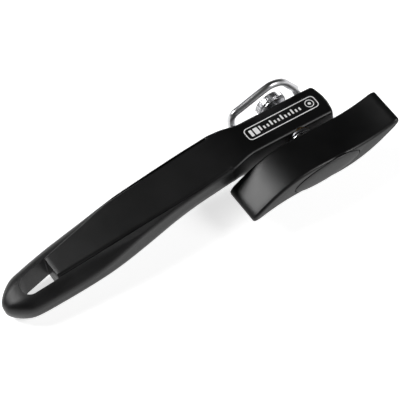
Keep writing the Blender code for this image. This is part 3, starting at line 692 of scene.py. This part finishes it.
def makePlate():
    p, screw = plateShape, plateScrew
    back = handleShape["headBack"]
    near = back - p["thick"]
    plate = slabOf("backPlate", plateOutline(0.0), near, back)
    route = wireShape["route"]
    holes = ((pivotAxis, p["bushHole"]), (cutterAxis, p["axleHole"]), (route[0], p["wireHole"]),
             (route[-1], p["wireHole"]))
    cutAway(plate, *[rod("plateHole", radius, near - 1.0, back + 1.0, spot) for spot, radius in holes])
    sink = [(0.0, back + 1.0), (screw["sinkTop"], back + 1.0), (screw["sinkFoot"], near),
            (screw["sinkFoot"], near - 2.0), (0.0, near - 2.0)]
    cutAway(plate, *[lathe("screwSink", sink, spot, 48) for spot in screw["spots"]])
    softenEdges(plate, p["edge"], 2, 40.0)
    return settled(plate, brushedPlate)


def makePlateScrews():
    # one countersunk cross-head screw along Z, set at each place with its cross turned a little further
    p = plateScrew
    top = handleShape["headBack"] - 0.1
    item = lathe("screwItem", [(0.0, top), (p["head"] - 0.15, top), (p["head"], top - 0.15),
                               (p["shank"], top - 1.4), (p["shank"], 0.6), (0.9, 0.0), (0.0, 0.0)], steps=48)
    item.rotation_euler = (0.0, 0.0, 0.0)
    long, thin = p["crossLength"] / 2.0, p["crossWidth"] / 2.0
    for wide, high in ((thin, long), (long, thin)):
        corners = ((-wide, -high), (wide, -high), (wide, high), (-wide, high))
        ends = (top - p["crossDepth"], top + 1.1)
        cutAway(item, skinned("crossBlade", [[(x, y, z) for x, y in corners] for z in ends]))
    softenEdges(item, 0.08, 2, 40.0)
    spots = [(x, -z, 0.0) for x, z in p["spots"]]
    values = {"Item": item, "Turn step": p["turnStep"], "Finish": brightSteel}
    screws = growFrom("plateScrews", pointTree(), spots, values)
    bpy.data.objects.remove(item, do_unlink=True)
    return settled(screws, brightSteel)


def easedPoint(before, here, after, beyond, t):
    # a point between here and after on a smooth curve through all four
    rise, fall = (after - before) * 0.5, (beyond - here) * 0.5
    bend = (here - after) * 2.0 + rise + fall
    swell = (after - here) * 3.0 - rise * 2.0 - fall
    return here + rise * t + swell * t * t + bend * t ** 3


def makeWire():
    w = wireShape
    (x0, z0), (x1, z1) = w["route"][0], w["route"][-1]
    plane, corner = w["plane"], w["corner"]
    arc = [math.radians(a) for a in evenly(0.0, 90.0, 11.0)]
    # out of the plate, along the loop and back into the plate
    path = [Vector((x0, w["seat"], z0))]
    path += [Vector((x0, plane - corner * (1.0 - math.sin(a)), z0 + corner * (1.0 - math.cos(a))))
             for a in arc]
    loop = [Vector((x, plane, z)) for x, z in w["route"]]
    for i in range(1, len(loop) - 2):
        path += [easedPoint(*loop[i - 1:i + 3], k / 8) for k in range(8)]
    path.append(loop[-2])
    path += [Vector((x1, plane - corner * (1.0 - math.cos(a)), z1 + corner * (1.0 - math.sin(a))))
             for a in arc]
    path.append(Vector((x1, w["seat"], z1)))
    curve = bpy.data.curves.new("wireGuard", "CURVE")
    curve.dimensions = "3D"
    curve.bevel_depth = w["radius"] * mm
    curve.bevel_resolution = 8
    curve.use_fill_caps = True
    spline = curve.splines.new("POLY")
    spline.points.add(len(path) - 1)
    for point, spot in zip(spline.points, path):
        point.co = (*(spot * mm), 1.0)
    return settled(linkUp("wireGuard", curve), polishedWire, 60.0)


# Drive train and cutter. Profiles are (radius, Y) points, turned about the piece's own axis.

feedShape = dict(
    radius=8.6, teeth=44, depth=0.75, tip=0.34, near=12.5, far=16.5, rimEdge=0.45, bore=2.15,
    groove=(4.6, 6.6), grooveDepth=0.35, toothFoot=0.35, toothEnd=0.5,
)
spindleShape = dict(
    radius=2.5, wheelSeat=2.1, seatStart=10.35, shoulder=-12.3, knobSeat=2.2, end=-25.6, flat=1.75, tap=1.35,
)
linerShape = dict(radius=5.7, rim=6.7, far=7.3)
bushShape = dict(radius=4.8, flange=6.6, far=10.2, thick=0.9)
washerShape = dict(
    bore=2.65, springRadius=6.2, springNear=-12.25, thrustRadius=7.6, thrustNear=-12.8, thick=0.8,
)
cutterShape = dict(
    radius=7.0, near=13.6, far=15.6, bevelFoot=4.9, bore=3.35, bearing=3.3, axle=2.5, spacer=4.4,
)
axleShape = dict(head=3.9, headNear=15.9, headTall=1.8, thread=1.6, threadEnd=3.6, nut=3.6, socket=1.6)
insertShape = dict(radius=6.4, far=-26.0, near=-13.8)


def makeFeedWheel():
    # the disc is turned, and its teeth are one tooth repeated round the rim
    f = feedShape
    near, far, edge = f["near"], f["far"], f["rimEdge"]
    root = f["radius"] - f["depth"]
    inner, outer = f["groove"]
    face = far - f["grooveDepth"]
    body = lathe("feedBody", [(root, far - edge), (root, near + edge), (root - edge, near), (f["bore"], near),
                              (f["bore"], far), (inner, far), (inner + 0.2, face), (outer - 0.2, face),
                              (outer, far), (root - edge, far)], steps=132)
    softenEdges(body, 0.08)
    # a tooth lies along Z here, its ends chamfered
    half = 0.48 * 2.0 * math.pi * root / f["teeth"]
    foot, tip = root - f["toothFoot"], 0.5 * f["tip"]
    rows = []
    for z, tall in ((near, 0.25), (near + f["toothEnd"], 1.0), (far - f["toothEnd"], 1.0), (far, 0.25)):
        top = root + f["depth"] * tall
        rows.append([(foot, -half, z), (top, -tip, z), (top, tip, z), (foot, half, z)])
    item = skinned("toothItem", rows)
    values = {"Item": item, "Count": f["teeth"], "Radius": 0.0, "Turn step": 2.0 * math.pi / f["teeth"],
              "Finish": brightSteel}
    teeth = growFrom("feedTeeth", ringTree(), [(0.0, 0.0, 0.0)], values)
    bpy.data.objects.remove(item, do_unlink=True)
    return settled(body, brightSteel), settled(teeth, brightSteel, 20.0)


def makeTurnedParts():
    # node, finish, body, slot, axis, softened edge, profile
    f, liner, washer, cutter = feedShape, linerShape, washerShape, cutterShape
    headFace = handleShape["headFront"] + 0.05
    wheelFace = f["near"] - 0.05
    spring, thrust = washer["springNear"], washer["thrustNear"]
    thrustFar = thrust - washer["thick"]
    underSeat = capShape["seat"] - 0.05
    bushHole = plateShape["bushHole"]
    cutNear, cutFar = cutter["near"], cutter["far"]
    middle = (cutNear + cutFar) / 2.0
    rows = [
        ("head_liner", bushBrass, "handle", "bearing_brass", pivotAxis, 0.12,
         [(liner["radius"], liner["far"]), (liner["radius"], headFace + 0.95),
          (liner["rim"], headFace + 0.95), (liner["rim"], headFace), (bushHole, headFace),
          (bushHole, liner["far"])]),
        ("feed_spacer", brightSteel, "spindle", "bright_steel", spindleAxis, 0.12,
         [(7.5, wheelFace), (7.5, wheelFace - 0.85), (4.6, wheelFace - 1.15), (4.6, 10.45),
          (f["bore"], 10.45), (f["bore"], wheelFace)]),
        ("disc_spring", darkSteel, "spindle", "spring_steel", spindleAxis, 0.0,
         [(washer["springRadius"], spring), (washer["springRadius"], spring - 0.25),
          (washer["bore"], spring - 0.5), (washer["bore"], spring - 0.25)]),
        ("thrust_washer", brightSteel, "spindle", "bright_steel", spindleAxis, 0.12,
         [(washer["thrustRadius"], thrust), (washer["thrustRadius"], thrustFar), (washer["bore"], thrustFar),
          (washer["bore"], thrust)]),
        ("knob_screw_washer", darkSteel, "spindle", "plate_steel", spindleAxis, 0.1,
         [(4.6, underSeat), (4.6, underSeat - 0.8), (1.6, underSeat - 0.8), (1.6, underSeat)]),
        ("cutter_wheel", bladeSteel, "cutter", "blade_steel", cutterAxis, 0.0,
         [(cutter["radius"], middle + 0.75), (cutter["radius"] - 0.1, middle + 0.6),
          (cutter["bevelFoot"], cutNear + 0.15), (cutter["bevelFoot"] - 0.4, cutNear),
          (cutter["bore"], cutNear), (cutter["bore"], cutFar), (5.3, cutFar), (5.6, cutFar - 0.05)]),
        ("cutter_bearing", cutterBrass, "cutter", "bearing_brass", cutterAxis, 0.08,
         [(cutter["bearing"], cutFar + 0.2), (cutter["bearing"], cutNear - 0.2),
          (cutter["axle"] + 0.06, cutNear - 0.2), (cutter["axle"] + 0.06, cutFar + 0.2)]),
        ("cutter_spacer", brightCutterSteel, "handle", "bright_steel", cutterAxis, 0.12,
         [(cutter["spacer"], cutNear - 0.3), (cutter["spacer"], 9.05), (cutter["axle"] + 0.06, 9.05),
          (cutter["axle"] + 0.06, cutNear - 0.3)]),
    ]
    for node, finish, body, slotName, axis, soft, profile in rows:
        first, *rest = node.split("_")
        thing = lathe(first + "".join(word.title() for word in rest), profile, axis)
        if soft:
            softenEdges(thing, soft)
        fitted(settled(thing, finish), body, slotName, node)


def socketHead(name, profile, axis, socket, depth, end, finish):
    # a turned screw with a six-sided driver socket sunk in its head
    screw = lathe(name, profile, axis)
    ends = (end - depth, end + 2.0) if end > 0.0 else (end - 2.0, end + depth)
    cutAway(screw, slabOf("socket", disc(socket, 6, axis), *ends))
    softenEdges(screw, 0.1, 2, 35.0)
    return settled(screw, finish)


def makeScrews():
    # domed screw in the feed wheel, flat-topped axle of the cutter, and the screw under the knob's cap
    a = axleShape
    far = feedShape["far"] + 0.05
    feedProfile = [(0.0, far + 2.0), (1.5, far + 1.95), (2.6, far + 1.7), (3.5, far + 1.25), (4.0, far + 0.7),
                   (4.0, far), (1.3, far), (1.3, 9.4), (0.0, 9.4)]
    feedScrew = socketHead("feedScrew", feedProfile, spindleAxis, 1.5, 1.1, far + 2.0, brightSteel)
    fitted(feedScrew, "spindle", "bright_steel", "feed_screw")
    near, top, axle = a["headNear"], a["headNear"] + a["headTall"], cutterShape["axle"]
    axleProfile = [(0.0, top), (a["head"] - 1.0, top), (a["head"] - 0.4, top - 0.25), (a["head"], top - 0.8),
                   (a["head"], near), (axle, near), (axle, 9.02), (a["thread"], 8.7),
                   (a["thread"], a["threadEnd"]), (0.0, a["threadEnd"])]
    axleScrew = socketHead("cutterAxleScrew", axleProfile, cutterAxis, a["socket"], 1.2, top,
                           brightCutterSteel)
    fitted(axleScrew, "handle", "bright_steel", "cutter_axle_screw")
    under = capShape["seat"] - 0.9
    knobProfile = [(0.0, -17.0), (1.3, -17.0), (1.3, under), (3.4, under), (3.4, under - 0.9),
                   (2.2, under - 1.7), (0.0, under - 1.9)]
    knobScrew = socketHead("knobScrew", knobProfile, spindleAxis, 1.3, 1.0, under - 1.9, darkSteel)
    fitted(knobScrew, "spindle", "plate_steel", "knob_screw")


def makeBush():
    b = bushShape
    face = handleShape["headFront"] - 0.05
    bush = lathe("eccentricBush", [(0.0, b["far"]), (b["radius"], b["far"]), (b["radius"], face),
                                   (b["flange"], face), (b["flange"], face - b["thick"]),
                                   (0.0, face - b["thick"])], pivotAxis)
    cutAway(bush, rod("spindleBore", spindleShape["radius"] + 0.06, -20.0, 20.0, spindleAxis))
    softenEdges(bush, 0.1, 2, 40.0)
    return settled(bush, darkSteel)


def makeSpindle():
    # two flats drive the knob's insert, and both ends are tapped
    p = spindleShape
    far = feedShape["far"] - 0.1
    spindle = lathe("driveSpindle", [(0.0, far), (p["wheelSeat"], far), (p["wheelSeat"], p["seatStart"]),
                                     (p["radius"], p["seatStart"]), (p["radius"], p["shoulder"]),
                                     (p["knobSeat"], p["shoulder"]), (p["knobSeat"], p["end"]),
                                     (0.0, p["end"])])
    for side in (1.0, -1.0):
        low, high = p["flat"] * side, 4.0 * side
        outline = [(-4.0, low), (4.0, low), (4.0, high), (-4.0, high)]
        cutAway(spindle, slabOf("spindleFlat", outline, -40.0, -13.4))
    cutAway(spindle, rod("knobTap", p["tap"], -40.0, -16.5, spindleAxis, 32),
            rod("feedTap", p["tap"], 9.0, 30.0, spindleAxis, 32))
    softenEdges(spindle, 0.08, 2, 40.0)
    return settled(spindle, brightSteel)


def makeSixSided(name, radius, ends, axis, bore, finish):
    # the nut in the head and the insert in the knob
    block = slabOf(name, disc(radius, 6, axis), *ends)
    cutAway(block, bore)
    softenEdges(block, 0.2, 2, 35.0)
    return settled(block, finish)


# Knob and cap. Both are outlines in X and Z, stacked along Y.

knobShape = dict(front=-36.4, back=-13.7, halfLength=46.4, tilt=5.0, sway=4.4, swayReach=49.0, tipHalf=2.2,
                 hubHalf=7.9, edge=1.6, tipRound=3.6, screwWay=2.0)
capShape = dict(halfLength=20.3, halfWidth=6.5, tilt=-3.0, dome=0.9, rim=0.3, seat=-32.0, gap=0.32)


def knobOutline(inset):
    # two wings swept in an S, swelling at the hub
    k = knobShape
    reach = k["halfLength"] - inset
    upper, lower = [], []
    for a in evenly(-90.0, 90.0, 3.0):
        s = reach * math.sin(math.radians(a))
        middle = -k["sway"] * math.sin(math.pi * s / k["swayReach"])
        swell = max(0.0, math.cos(math.pi * s / (2.0 * k["halfLength"]))) ** 1.2
        past = max(0.0, abs(s) - reach + k["tipRound"]) / k["tipRound"]
        half = mixed(k["tipHalf"], k["hubHalf"], swell) * math.sqrt(1.0 - 0.88 * past ** 2.4)
        half -= min(inset, 0.6 * half)
        upper.append((s, middle + half))
        lower.append((s, middle - half))
    return [turned2d(p, k["tilt"]) for p in upper + lower[::-1]]


def capOutline(grow):
    c = capShape
    return [turned2d(((c["halfLength"] + grow) * x, (c["halfWidth"] + grow) * z), c["tilt"])
            for x, z in disc(1.0, 96)]


def stacked(outline, y):
    return [(x, y, z) for x, z in outline]


def makeKnob():
    k, c = knobShape, capShape
    edge, front, back = k["edge"], k["front"], k["back"]
    turn = [math.radians(a) for a in evenly(0.0, 90.0, 15.0)]
    rings = [stacked(knobOutline(edge * (1.0 - math.sin(a))), back - edge * (1.0 - math.cos(a)))
             for a in turn]
    rings += [stacked(knobOutline(0.0), y) for y in evenly(back - edge, front + edge, 3.2)[1:-1]]
    rings += [stacked(knobOutline(edge * (1.0 - math.sin(a))), front + edge * (1.0 - math.cos(a)))
              for a in reversed(turn)]
    knob = skinned("knobBody", rings)
    recess = slabOf("capRecess", capOutline(c["gap"]), front - 5.0, c["seat"])
    well = slabOf("insertWell", disc(insertShape["radius"] + 0.1, 6), insertShape["far"] - 0.1, back + 5.0)
    way = rod("screwWay", k["screwWay"], c["seat"] - 5.0, insertShape["far"] + 1.0)
    cutAway(knob, recess, well, way)
    softenEdges(knob, 0.2, 2, 45.0)
    return settled(knob, satinKnob, 42.0)


def makeCap():
    c = capShape
    rim = knobShape["front"] + c["rim"]
    outline = capOutline(0.0)
    rings = [stacked(outline, c["seat"] - 0.1), stacked(outline, rim)]
    for a in evenly(12.0, 84.0, 8.0):
        rise = c["rim"] + c["dome"] * math.sin(math.radians(a))
        scale = math.cos(math.radians(a)) ** 0.7
        rings.append([(x * scale, rim - rise, z * scale) for x, z in outline])
    return settled(skinned("knobCap", rings), satinCap, 50.0)


# Printed label: a plain outlined frame with neutral marks. Outlines are X and Y on the head's top face.

labelShape = dict(
    left=-24.5, right=19.2, front=-4.2, back=3.8, corner=2.3, line=0.5, ink=0.05, margin=2.4,
    blocks=(1.7, 2.6), blockHalf=2.1, blockGap=0.9,
    ticks=12, tickWidth=1.0, tickPitch=2.2, tickFoot=1.15, shortTick=1.95, tallTick=3.15,
    dialInset=4.3, dialOuter=2.5, dialInner=2.05, dialDot=0.85,
)


def inkOn(name, outer, inner=None):
    # thin ink lying on the head's top face, with a hole where an inner outline is given
    ink = labelShape["ink"]
    shape = bmesh.new()

    def loop(outline, lift):
        return [shape.verts.new(Vector((x, y, topLine(x) + lift)) * mm) for x, y in outline]

    def wall(low, high):
        for i in range(len(low)):
            j = (i + 1) % len(low)
            shape.faces.new((low[i], low[j], high[j], high[i]))

    low, high = loop(outer, -ink), loop(outer, ink)
    wall(low, high)
    if inner is None:
        shape.faces.new(high)
        shape.faces.new(low[::-1])
    else:
        lowIn, highIn = loop(inner, -ink), loop(inner, ink)
        wall(highIn, lowIn)
        wall(high, highIn)
        wall(lowIn, low)
    return linkUp(name, meshFrom(name, shape))


def roundedBox(left, right, front, back, corner, steps=6):
    return softCorners(((left, front), (right, front), (right, back), (left, back)), (corner,) * 4, steps)


def makeLabel():
    s = labelShape
    left, right, front, back, line = s["left"], s["right"], s["front"], s["back"], s["line"]
    middle = (front + back) / 2.0
    frame = roundedBox(left, right, front, back, s["corner"])
    window = roundedBox(left + line, right - line, front + line, back - line, s["corner"] - line)
    shapes = [inkOn("labelFrame", frame, window)]
    x = left + s["margin"]
    for wide in s["blocks"]:
        outline = roundedBox(x, x + wide, middle - s["blockHalf"], middle + s["blockHalf"], 0.3)
        shapes.append(inkOn("labelMark", outline))
        x += wide + s["blockGap"]
    for i in range(s["ticks"]):  # every third tick is taller
        foot = middle - s["tickFoot"]
        tall = s["shortTick"] if i % 3 else s["tallTick"]
        shapes.append(inkOn("labelTick", roundedBox(x, x + s["tickWidth"], foot, foot + tall, 0.2)))
        x += s["tickPitch"]
    dial = (right - s["dialInset"], middle)
    shapes.append(inkOn("labelRing", disc(s["dialOuter"], 40, dial), disc(s["dialInner"], 40, dial)))
    shapes.append(inkOn("labelDot", disc(s["dialDot"], 24, dial)))
    joined = bmesh.new()
    for piece in [settled(shape, whiteInk, 30.0) for shape in shapes]:
        joined.from_mesh(piece.data)
        bpy.data.objects.remove(piece, do_unlink=True)
    mesh = meshFrom("labelPrint", joined)
    mesh.materials.append(whiteInk)
    return linkUp("labelPrint", mesh)


# Putting it together.

fitted(makeGrip(), "handle", "soft_black", "handle_grip")
print("grip made")
fitted(makeCore(), "handle", "core_black", "handle_core")
fitted(makeLabel(), "handle", "core_black")
print("core and label made")
fitted(makePlate(), "handle", "plate_steel", "back_plate")
fitted(makePlateScrews(), "handle", "bright_steel",
       "plate_screw_tip", "plate_screw_neck", "plate_screw_upper")
fitted(makeWire(), "handle", "bright_steel", "wire_guard")
print("plate, screws and wire made")
feedBody, feedTeeth = makeFeedWheel()
fitted(feedBody, "spindle", "bright_steel", "feed_wheel")
fitted(feedTeeth, "spindle", "bright_steel", "feed_wheel")
makeTurnedParts()
makeScrews()
fitted(makeBush(), "eccentric", "plate_steel", "eccentric_bush")
fitted(makeSpindle(), "spindle", "bright_steel", "drive_spindle")
nutBore = rod("nutBore", axleShape["thread"] + 0.05, 0.0, 20.0, cutterAxis, 32)
cutterNut = makeSixSided("cutterNut", axleShape["nut"], (4.2, 7.4), cutterAxis, nutBore, brightCutterSteel)
fitted(cutterNut, "handle", "bright_steel", "cutter_nut")
insertBore = rod("insertSocket", spindleShape["knobSeat"] + 0.1, -40.0, 0.0)
insertEnds = (insertShape["far"], insertShape["near"])
knobInsert = makeSixSided("knobInsert", insertShape["radius"], insertEnds, spindleAxis, insertBore, darkSteel)
fitted(knobInsert, "spindle", "spring_steel", "knob_insert")
print("drive train made")
fitted(makeKnob(), "spindle", "knob_black", "knob_body")
fitted(makeCap(), "spindle", "knob_black", "knob_cap")
print("knob made")
for helper in helpers:
    bpy.data.objects.remove(helper, do_unlink=True)


# Floor, light and camera.

studio = dict(
    floorColour=(0.9, 0.9, 0.9), floorGlow=0.7, floorSize=6.0, floorDrop=0.0002, horizon=0.85, zenith=0.015,
    darkFrom=0.16, darkBy=0.5,
)
tableView = dict(spot=(-0.31853, -0.526775, 0.95851), turn=(33.1891, 1.7623, -34.1772), lens=197.55)
lamps = (  # name, place, aimed at, width, height, watts
    ("keyPanel", (-0.40, 0.38, 0.56), (-0.03, 0.0, 0.02), 0.30, 0.30, 4.6),
    ("sidePanel", (0.75, -0.75, 0.75), (0.03, 0.0, 0.02), 0.5, 0.5, 8.0),
)


def makeStudio():
    half = studio["floorSize"] / 2.0
    mesh = bpy.data.meshes.new("floor")
    mesh.from_pydata([(-half, -half, 0.0), (half, -half, 0.0), (half, half, 0.0), (-half, half, 0.0)], [],
                     [(0, 1, 2, 3)])
    floor = linkUp("floor", mesh)
    paper, tree, shader = newFinish("palePaper")
    shader.inputs["Base Color"].default_value = (*studio["floorColour"], 1.0)
    shader.inputs["Roughness"].default_value = 0.9
    shader.inputs["Specular IOR Level"].default_value = 0.1
    shader.inputs["Emission Color"].default_value = (1.0, 1.0, 1.0, 1.0)
    shader.inputs["Emission Strength"].default_value = studio["floorGlow"]
    mesh.materials.append(paper)
    floor.location.z = -studio["floorDrop"]
    # bright round the horizon, dark overhead
    sky = bpy.data.worlds.new("paleSurround")
    bpy.context.scene.world = sky
    sky.use_nodes = True
    tree = sky.node_tree
    facing = addNode(tree, "ShaderNodeTexCoord")
    parts = addNode(tree, "ShaderNodeSeparateXYZ")
    tree.links.new(facing.outputs["Generated"], parts.inputs[0])
    glow = spread(tree, parts.outputs["Z"], studio["horizon"], studio["zenith"], studio["darkFrom"],
                  studio["darkBy"])
    tree.links.new(glow, tree.nodes["Background"].inputs["Strength"])
    for name, place, aim, wide, high, watts in lamps:
        light = bpy.data.lights.new(name, "AREA")
        light.shape = "RECTANGLE"
        light.size = wide
        light.size_y = high
        light.energy = watts
        lamp = bpy.data.objects.new(name, light)
        bpy.context.scene.collection.objects.link(lamp)
        lamp.location = place
        lamp.rotation_euler = (Vector(aim) - Vector(place)).to_track_quat("-Z", "Y").to_euler()


def makeCamera():
    camera = bpy.data.cameras.new("tableCamera")
    camera.lens = tableView["lens"]
    camera.sensor_width = 36.0
    holder = bpy.data.objects.new("tableCamera", camera)
    bpy.context.scene.collection.objects.link(holder)
    holder.location = tableView["spot"]
    holder.rotation_euler = [math.radians(a) for a in tableView["turn"]]
    bpy.context.scene.camera = holder


makeStudio()
makeCamera()
bpy.context.scene.view_settings.view_transform = "Standard"
print("studio set")
